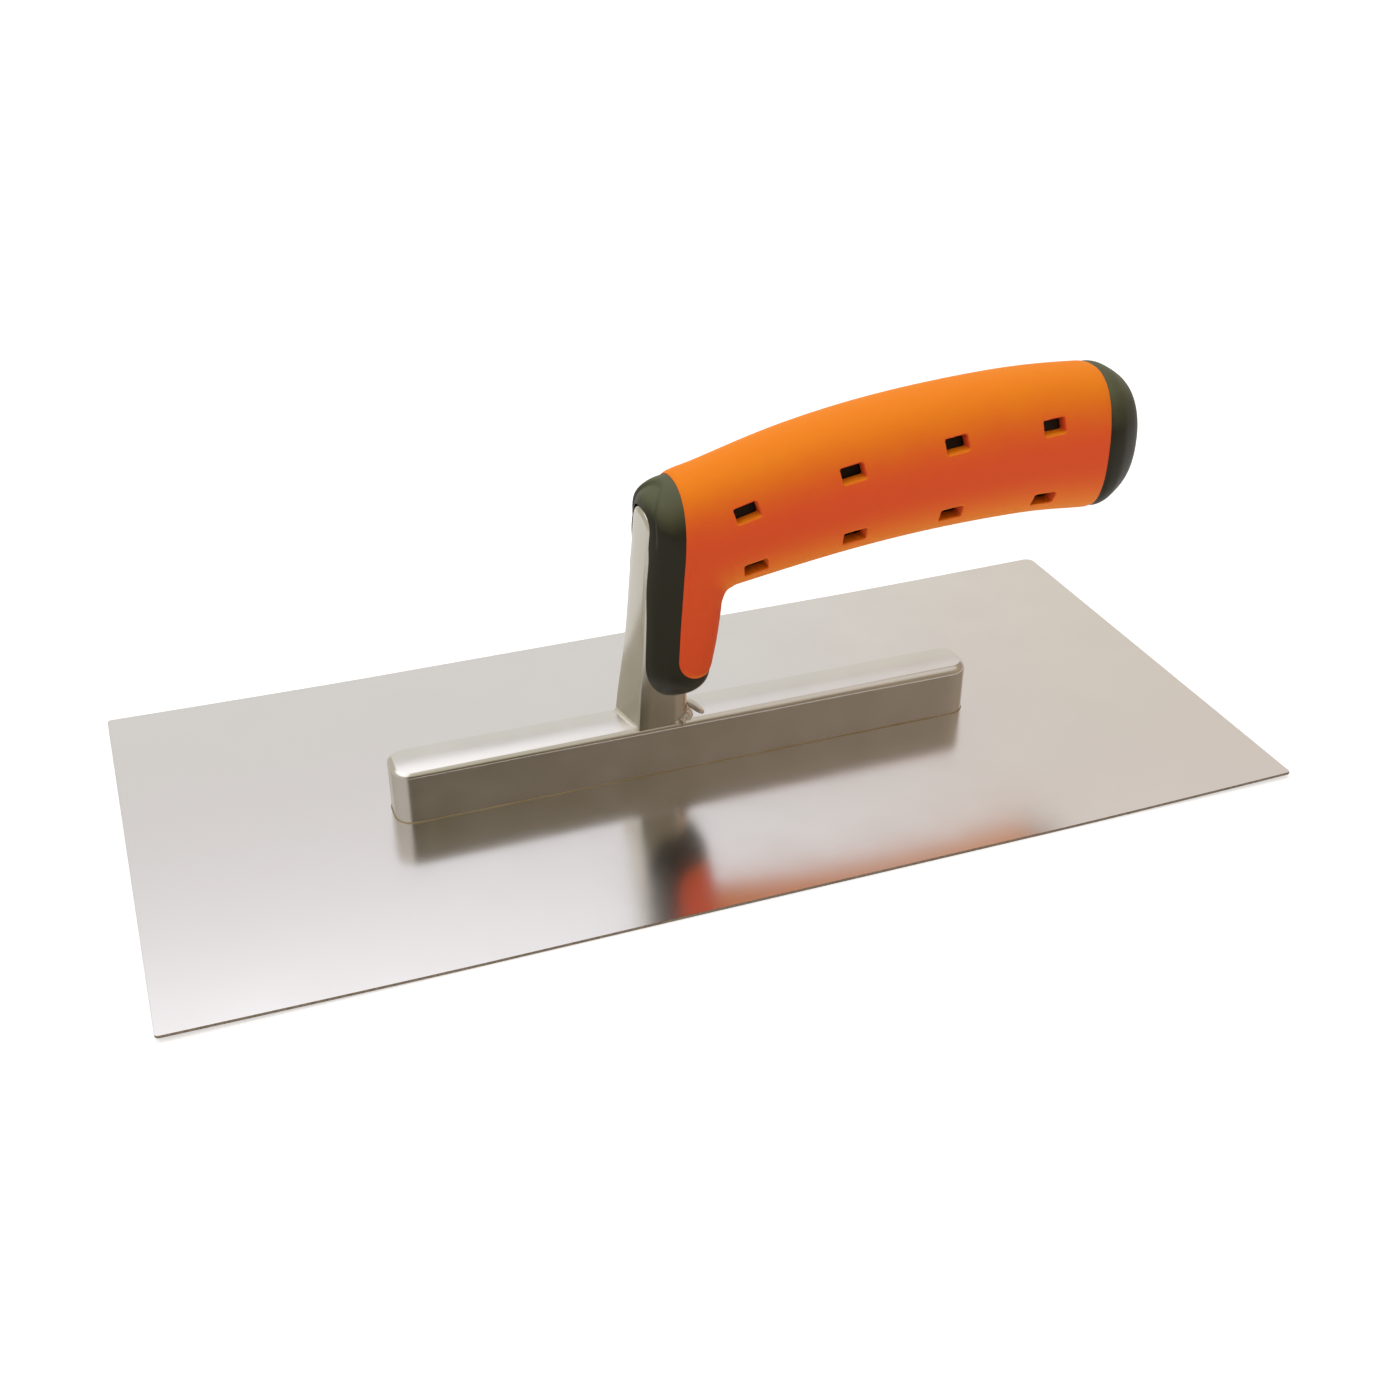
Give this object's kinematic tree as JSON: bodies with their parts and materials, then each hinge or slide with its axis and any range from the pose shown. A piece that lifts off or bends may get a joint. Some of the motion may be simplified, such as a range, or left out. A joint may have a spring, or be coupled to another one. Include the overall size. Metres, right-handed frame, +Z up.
{
  "type": "finishing trowel",
  "caption": "Flat rectangular steel blade with a back bar, a leaning post and a soft-grip handle, for smoothing plaster, mortar or concrete by hand.",
  "frame": {"origin": "on the underside of the blade, at its centre", "axes": "+X along the blade towards the handle's free end, +Y across the blade, +Z up from the blade's back"},
  "size_m": [0.28, 0.13, 0.0935],
  "materials": {
    "blade_steel": "ground stainless sheet",
    "bar_steel": "satin stainless",
    "post_steel": "satin stainless",
    "weld_steel": "brushed weld metal",
    "plated_steel": "zinc plated",
    "hard_plastic": "fine spark texture",
    "soft_layer": "matte thermoplastic elastomer"
  },
  "bodies": {
    "root": {"blade": "blade_steel", "back_bar": "bar_steel", "bar_seam_weld": "weld_steel", "post": "post_steel", "post_front_weld": "weld_steel", "post_rear_weld": "weld_steel", "tang": "plated_steel", "tang_washer": "plated_steel", "tang_nut": "plated_steel", "core_right_half": "hard_plastic", "core_left_half": "hard_plastic", "front_collar": "hard_plastic", "soft_grip": "soft_layer", "end_cap": "hard_plastic"}
  },
  "joints": []
}
